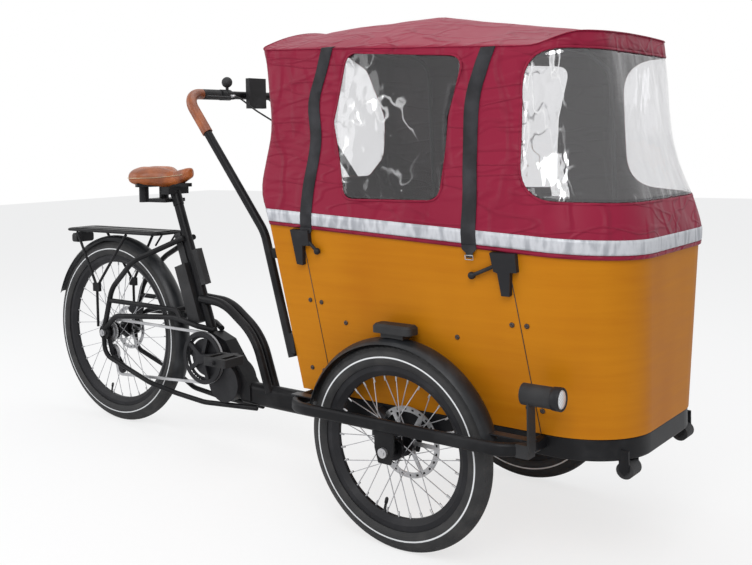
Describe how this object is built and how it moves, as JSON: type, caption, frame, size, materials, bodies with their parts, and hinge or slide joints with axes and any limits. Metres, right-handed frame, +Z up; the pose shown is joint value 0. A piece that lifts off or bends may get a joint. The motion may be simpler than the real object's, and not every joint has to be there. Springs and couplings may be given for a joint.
{
  "type": "electric cargo tricycle",
  "caption": "Front-loading electric cargo tricycle: wooden box with bench and rain canopy that steers on a pivot, push bar, mid motor, chain drive and spoked wheels.",
  "frame": {"origin": "on the ground under the middle of the vehicle's length and width", "axes": "+X forward from the saddle to the box, +Y to the rider's left, +Z up; the ground is at z = 0"},
  "size_m": [2.3218, 0.82, 1.3319],
  "materials": {
    "tyre": "matt rubber with a pale reflective line on each wall",
    "rim": "satin black",
    "hub": "satin, with bright spokes",
    "disc": "brushed",
    "steel": "brushed",
    "frame": "gloss black powder coat",
    "motor": "matt black",
    "casing": "matt black",
    "chain": "oiled",
    "crank": "satin black",
    "pedal": "matt black",
    "leather": "tan",
    "guard": "gloss black",
    "lamp": "black case with a clear or red lens",
    "panel": "varnished honey-coloured plywood",
    "cushion": "black cover",
    "canopy": "dark red coated cloth",
    "window": "clear flexible sheet",
    "grip": "matt black",
    "foot": "matt black"
  },
  "bodies": {
    "rear_frame": {"main_frame": "frame", "stays_right": "frame", "stays_left": "frame", "rear_axle": "steel", "drive_unit": "motor", "battery": "casing", "saddle": "leather", "seatpost": "frame", "rear_mudguard": "guard", "luggage_rack": "frame", "tail_lamp": "lamp", "chain": "chain", "derailleur": "crank", "rear_caliper": "motor"},
    "rear_wheel": {"tyre_rear": "tyre", "rim_rear": "rim", "hub_rear": "hub", "brake_disc_rear": "disc", "cassette": "steel"},
    "cranks": {"crankset": "crank"},
    "right_pedal": {"pedal_right": "pedal"},
    "left_pedal": {"pedal_left": "pedal"},
    "front_module": {"front_frame": "frame", "front_axles": "steel", "front_calipers": "motor", "box_side_right": "panel", "box_side_left": "panel", "box_end_right": "panel", "box_end_left": "panel", "box_rear": "panel", "box_front": "panel", "box_floor": "panel", "bench": "panel", "bench_cushion": "cushion", "canopy": "canopy", "canopy_windows": "window", "canopy_poles": "casing", "push_bar": "frame", "bar_sleeves": "leather", "bar_grips": "grip", "bar_controls": "casing", "front_fenders": "guard", "front_lamps": "lamp", "frame_feet": "foot"},
    "right_wheel": {"tyre_right": "tyre", "rim_right": "rim", "hub_right": "hub", "brake_disc_right": "disc"},
    "left_wheel": {"tyre_left": "tyre", "rim_left": "rim", "hub_left": "hub", "brake_disc_left": "disc"}
  },
  "joints": [
    {"name": "steering", "type": "hinge", "parent": "rear_frame", "child": "front_module", "pos_m": [0.338, 0, 0.22], "axis": [0, 0, 1], "range_deg": [-35, 35]},
    {"name": "right_wheel_spin", "type": "hinge", "parent": "front_module", "child": "right_wheel", "pos_m": [0.608, -0.338, 0.255], "axis": [0, 1, 0], "continuous": true},
    {"name": "left_wheel_spin", "type": "hinge", "parent": "front_module", "child": "left_wheel", "pos_m": [0.608, 0.338, 0.255], "axis": [0, 1, 0], "continuous": true},
    {"name": "rear_wheel_spin", "type": "hinge", "parent": "rear_frame", "child": "rear_wheel", "pos_m": [-0.826, 0, 0.335], "axis": [0, 1, 0], "continuous": true},
    {"name": "crank_spin", "type": "hinge", "parent": "rear_frame", "child": "cranks", "pos_m": [-0.342, 0, 0.3], "axis": [0, 1, 0], "continuous": true},
    {"name": "right_pedal_spin", "type": "hinge", "parent": "cranks", "child": "right_pedal", "pos_m": [-0.17903, -0.1245, 0.32581], "axis": [0, 1, 0], "continuous": true},
    {"name": "left_pedal_spin", "type": "hinge", "parent": "cranks", "child": "left_pedal", "pos_m": [-0.50497, 0.1245, 0.27419], "axis": [0, 1, 0], "continuous": true}
  ]
}
